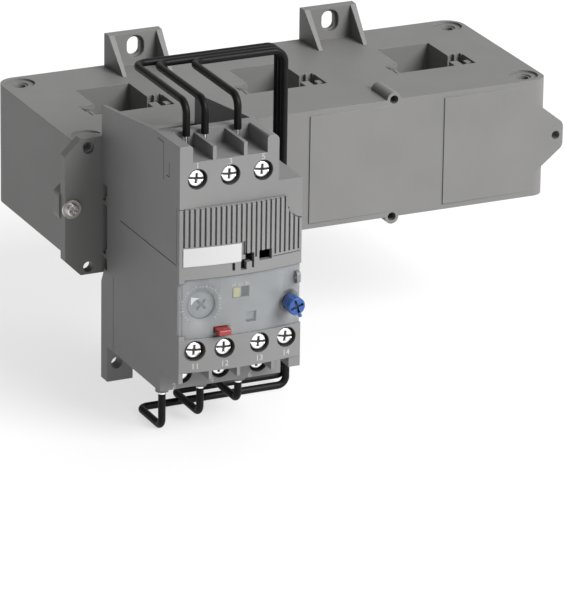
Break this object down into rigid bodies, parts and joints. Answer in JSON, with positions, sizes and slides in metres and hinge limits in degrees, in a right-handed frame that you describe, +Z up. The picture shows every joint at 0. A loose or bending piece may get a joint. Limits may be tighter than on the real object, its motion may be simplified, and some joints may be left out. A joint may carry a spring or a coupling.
{
  "type": "electronic overload relay with current transformer block",
  "caption": "Grey moulded relay with dial, blue reset knob and red stop button, clipped to a long three-window transformer block by stiff black leads.",
  "frame": {"origin": "on the mounting panel, in the middle of the transformer block's back face", "axes": "+X to the right along the block, +Y into the panel, +Z up"},
  "size_m": [0.1951, 0.151, 0.1222],
  "materials": {
    "housing_grey": "fine matt moulded plastic",
    "relay_grey": "fine matt moulded plastic",
    "cover_grey": "fine matt moulded plastic",
    "label_white": "smooth plastic, nothing written",
    "dark_plastic": "matt",
    "bobbin_white": "matt",
    "dial_grey": "satin",
    "slider_grey": "satin",
    "selector_yellow": "satin",
    "stop_red": "satin",
    "reset_blue": "satin",
    "clear_cover": "clear moulded plastic",
    "lead_black": "slightly glossy insulation",
    "zinc_steel": "bright zinc plating",
    "bright_screw": "bright plating",
    "tinned_sleeve": "tinned",
    "spring_steel": "bright wire",
    "core_steel": "laminated sheet",
    "copper_wire": "enamelled copper",
    "contact_brass": "satin",
    "board_green": "lacquered board"
  },
  "bodies": {
    "housing": {"transformer_case": "housing_grey", "transformer_base": "housing_grey", "base_screws": "zinc_steel", "core_left": "core_steel", "core_middle": "core_steel", "core_right": "core_steel", "bobbin_left": "bobbin_white", "bobbin_middle": "bobbin_white", "bobbin_right": "bobbin_white", "winding_left": "copper_wire", "winding_middle": "copper_wire", "winding_right": "copper_wire", "lead_strip": "dark_plastic", "adapter_plate": "housing_grey", "adapter_washers": "zinc_steel", "adapter_screws": "zinc_steel", "relay_case": "relay_grey", "relay_base": "relay_grey", "front_cover": "cover_grey", "label_plate": "label_white", "mechanism_frame": "dark_plastic", "circuit_board": "board_green", "trip_coil": "copper_wire", "coil_yoke": "core_steel", "potentiometer": "dark_plastic", "class_switch": "dark_plastic", "fixed_contacts": "contact_brass", "top_terminals": "zinc_steel", "lower_terminals": "zinc_steel", "aux_terminals": "zinc_steel", "terminal_straps": "contact_brass", "top_screws": "bright_screw", "lower_screws": "bright_screw", "aux_screws": "bright_screw", "top_sleeves": "tinned_sleeve", "lower_sleeves": "tinned_sleeve", "stop_spring": "spring_steel", "reset_spring": "spring_steel", "top_lead_left": "lead_black", "top_lead_middle": "lead_black", "top_lead_right": "lead_black", "lower_lead_left": "lead_black", "lower_lead_middle": "lead_black", "lower_lead_right": "lead_black"},
    "seal_door": {"seal_cover": "clear_cover"},
    "dial": {"setting_dial": "dial_grey"},
    "class_selector": {"class_slider": "selector_yellow"},
    "contact_carrier": {"contact_slider": "slider_grey", "contact_bridges": "contact_brass"},
    "stop": {"stop_button": "stop_red"},
    "reset_rod": {"reset_plunger": "reset_blue"},
    "reset_turn": {"reset_knob": "reset_blue"}
  },
  "joints": [
    {"name": "cover_hinge", "type": "hinge", "parent": "housing", "child": "seal_door", "pos_m": [-0.082, -0.14307, 0], "axis": [0, 0, -1], "range_deg": [0, 105]},
    {"name": "dial_turn", "type": "hinge", "parent": "housing", "child": "dial", "pos_m": [-0.0748, -0.141, -0.015], "axis": [0, 1, 0], "range_deg": [-90, 180]},
    {"name": "class_slide", "type": "slide", "parent": "housing", "child": "class_selector", "axis": [1, 0, 0], "range_m": [0, 0.0032]},
    {"name": "trip_slide", "type": "slide", "parent": "housing", "child": "contact_carrier", "axis": [0, 0, 1], "range_m": [0, 0.002]},
    {"name": "stop_press", "type": "slide", "parent": "housing", "child": "stop", "axis": [0, 1, 0], "range_m": [0, 0.002], "stiffness_N_per_m": 400, "springref_m": -0.001, "deforming": ["stop_spring"]},
    {"name": "reset_press", "type": "slide", "parent": "housing", "child": "reset_rod", "axis": [0, 1, 0], "range_m": [0, 0.002], "stiffness_N_per_m": 400, "springref_m": -0.001, "deforming": ["reset_spring"]},
    {"name": "reset_mode_turn", "type": "hinge", "parent": "reset_rod", "child": "reset_turn", "pos_m": [-0.0429, -0.147, -0.0178], "axis": [0, 1, 0], "range_deg": [0, 90]}
  ]
}
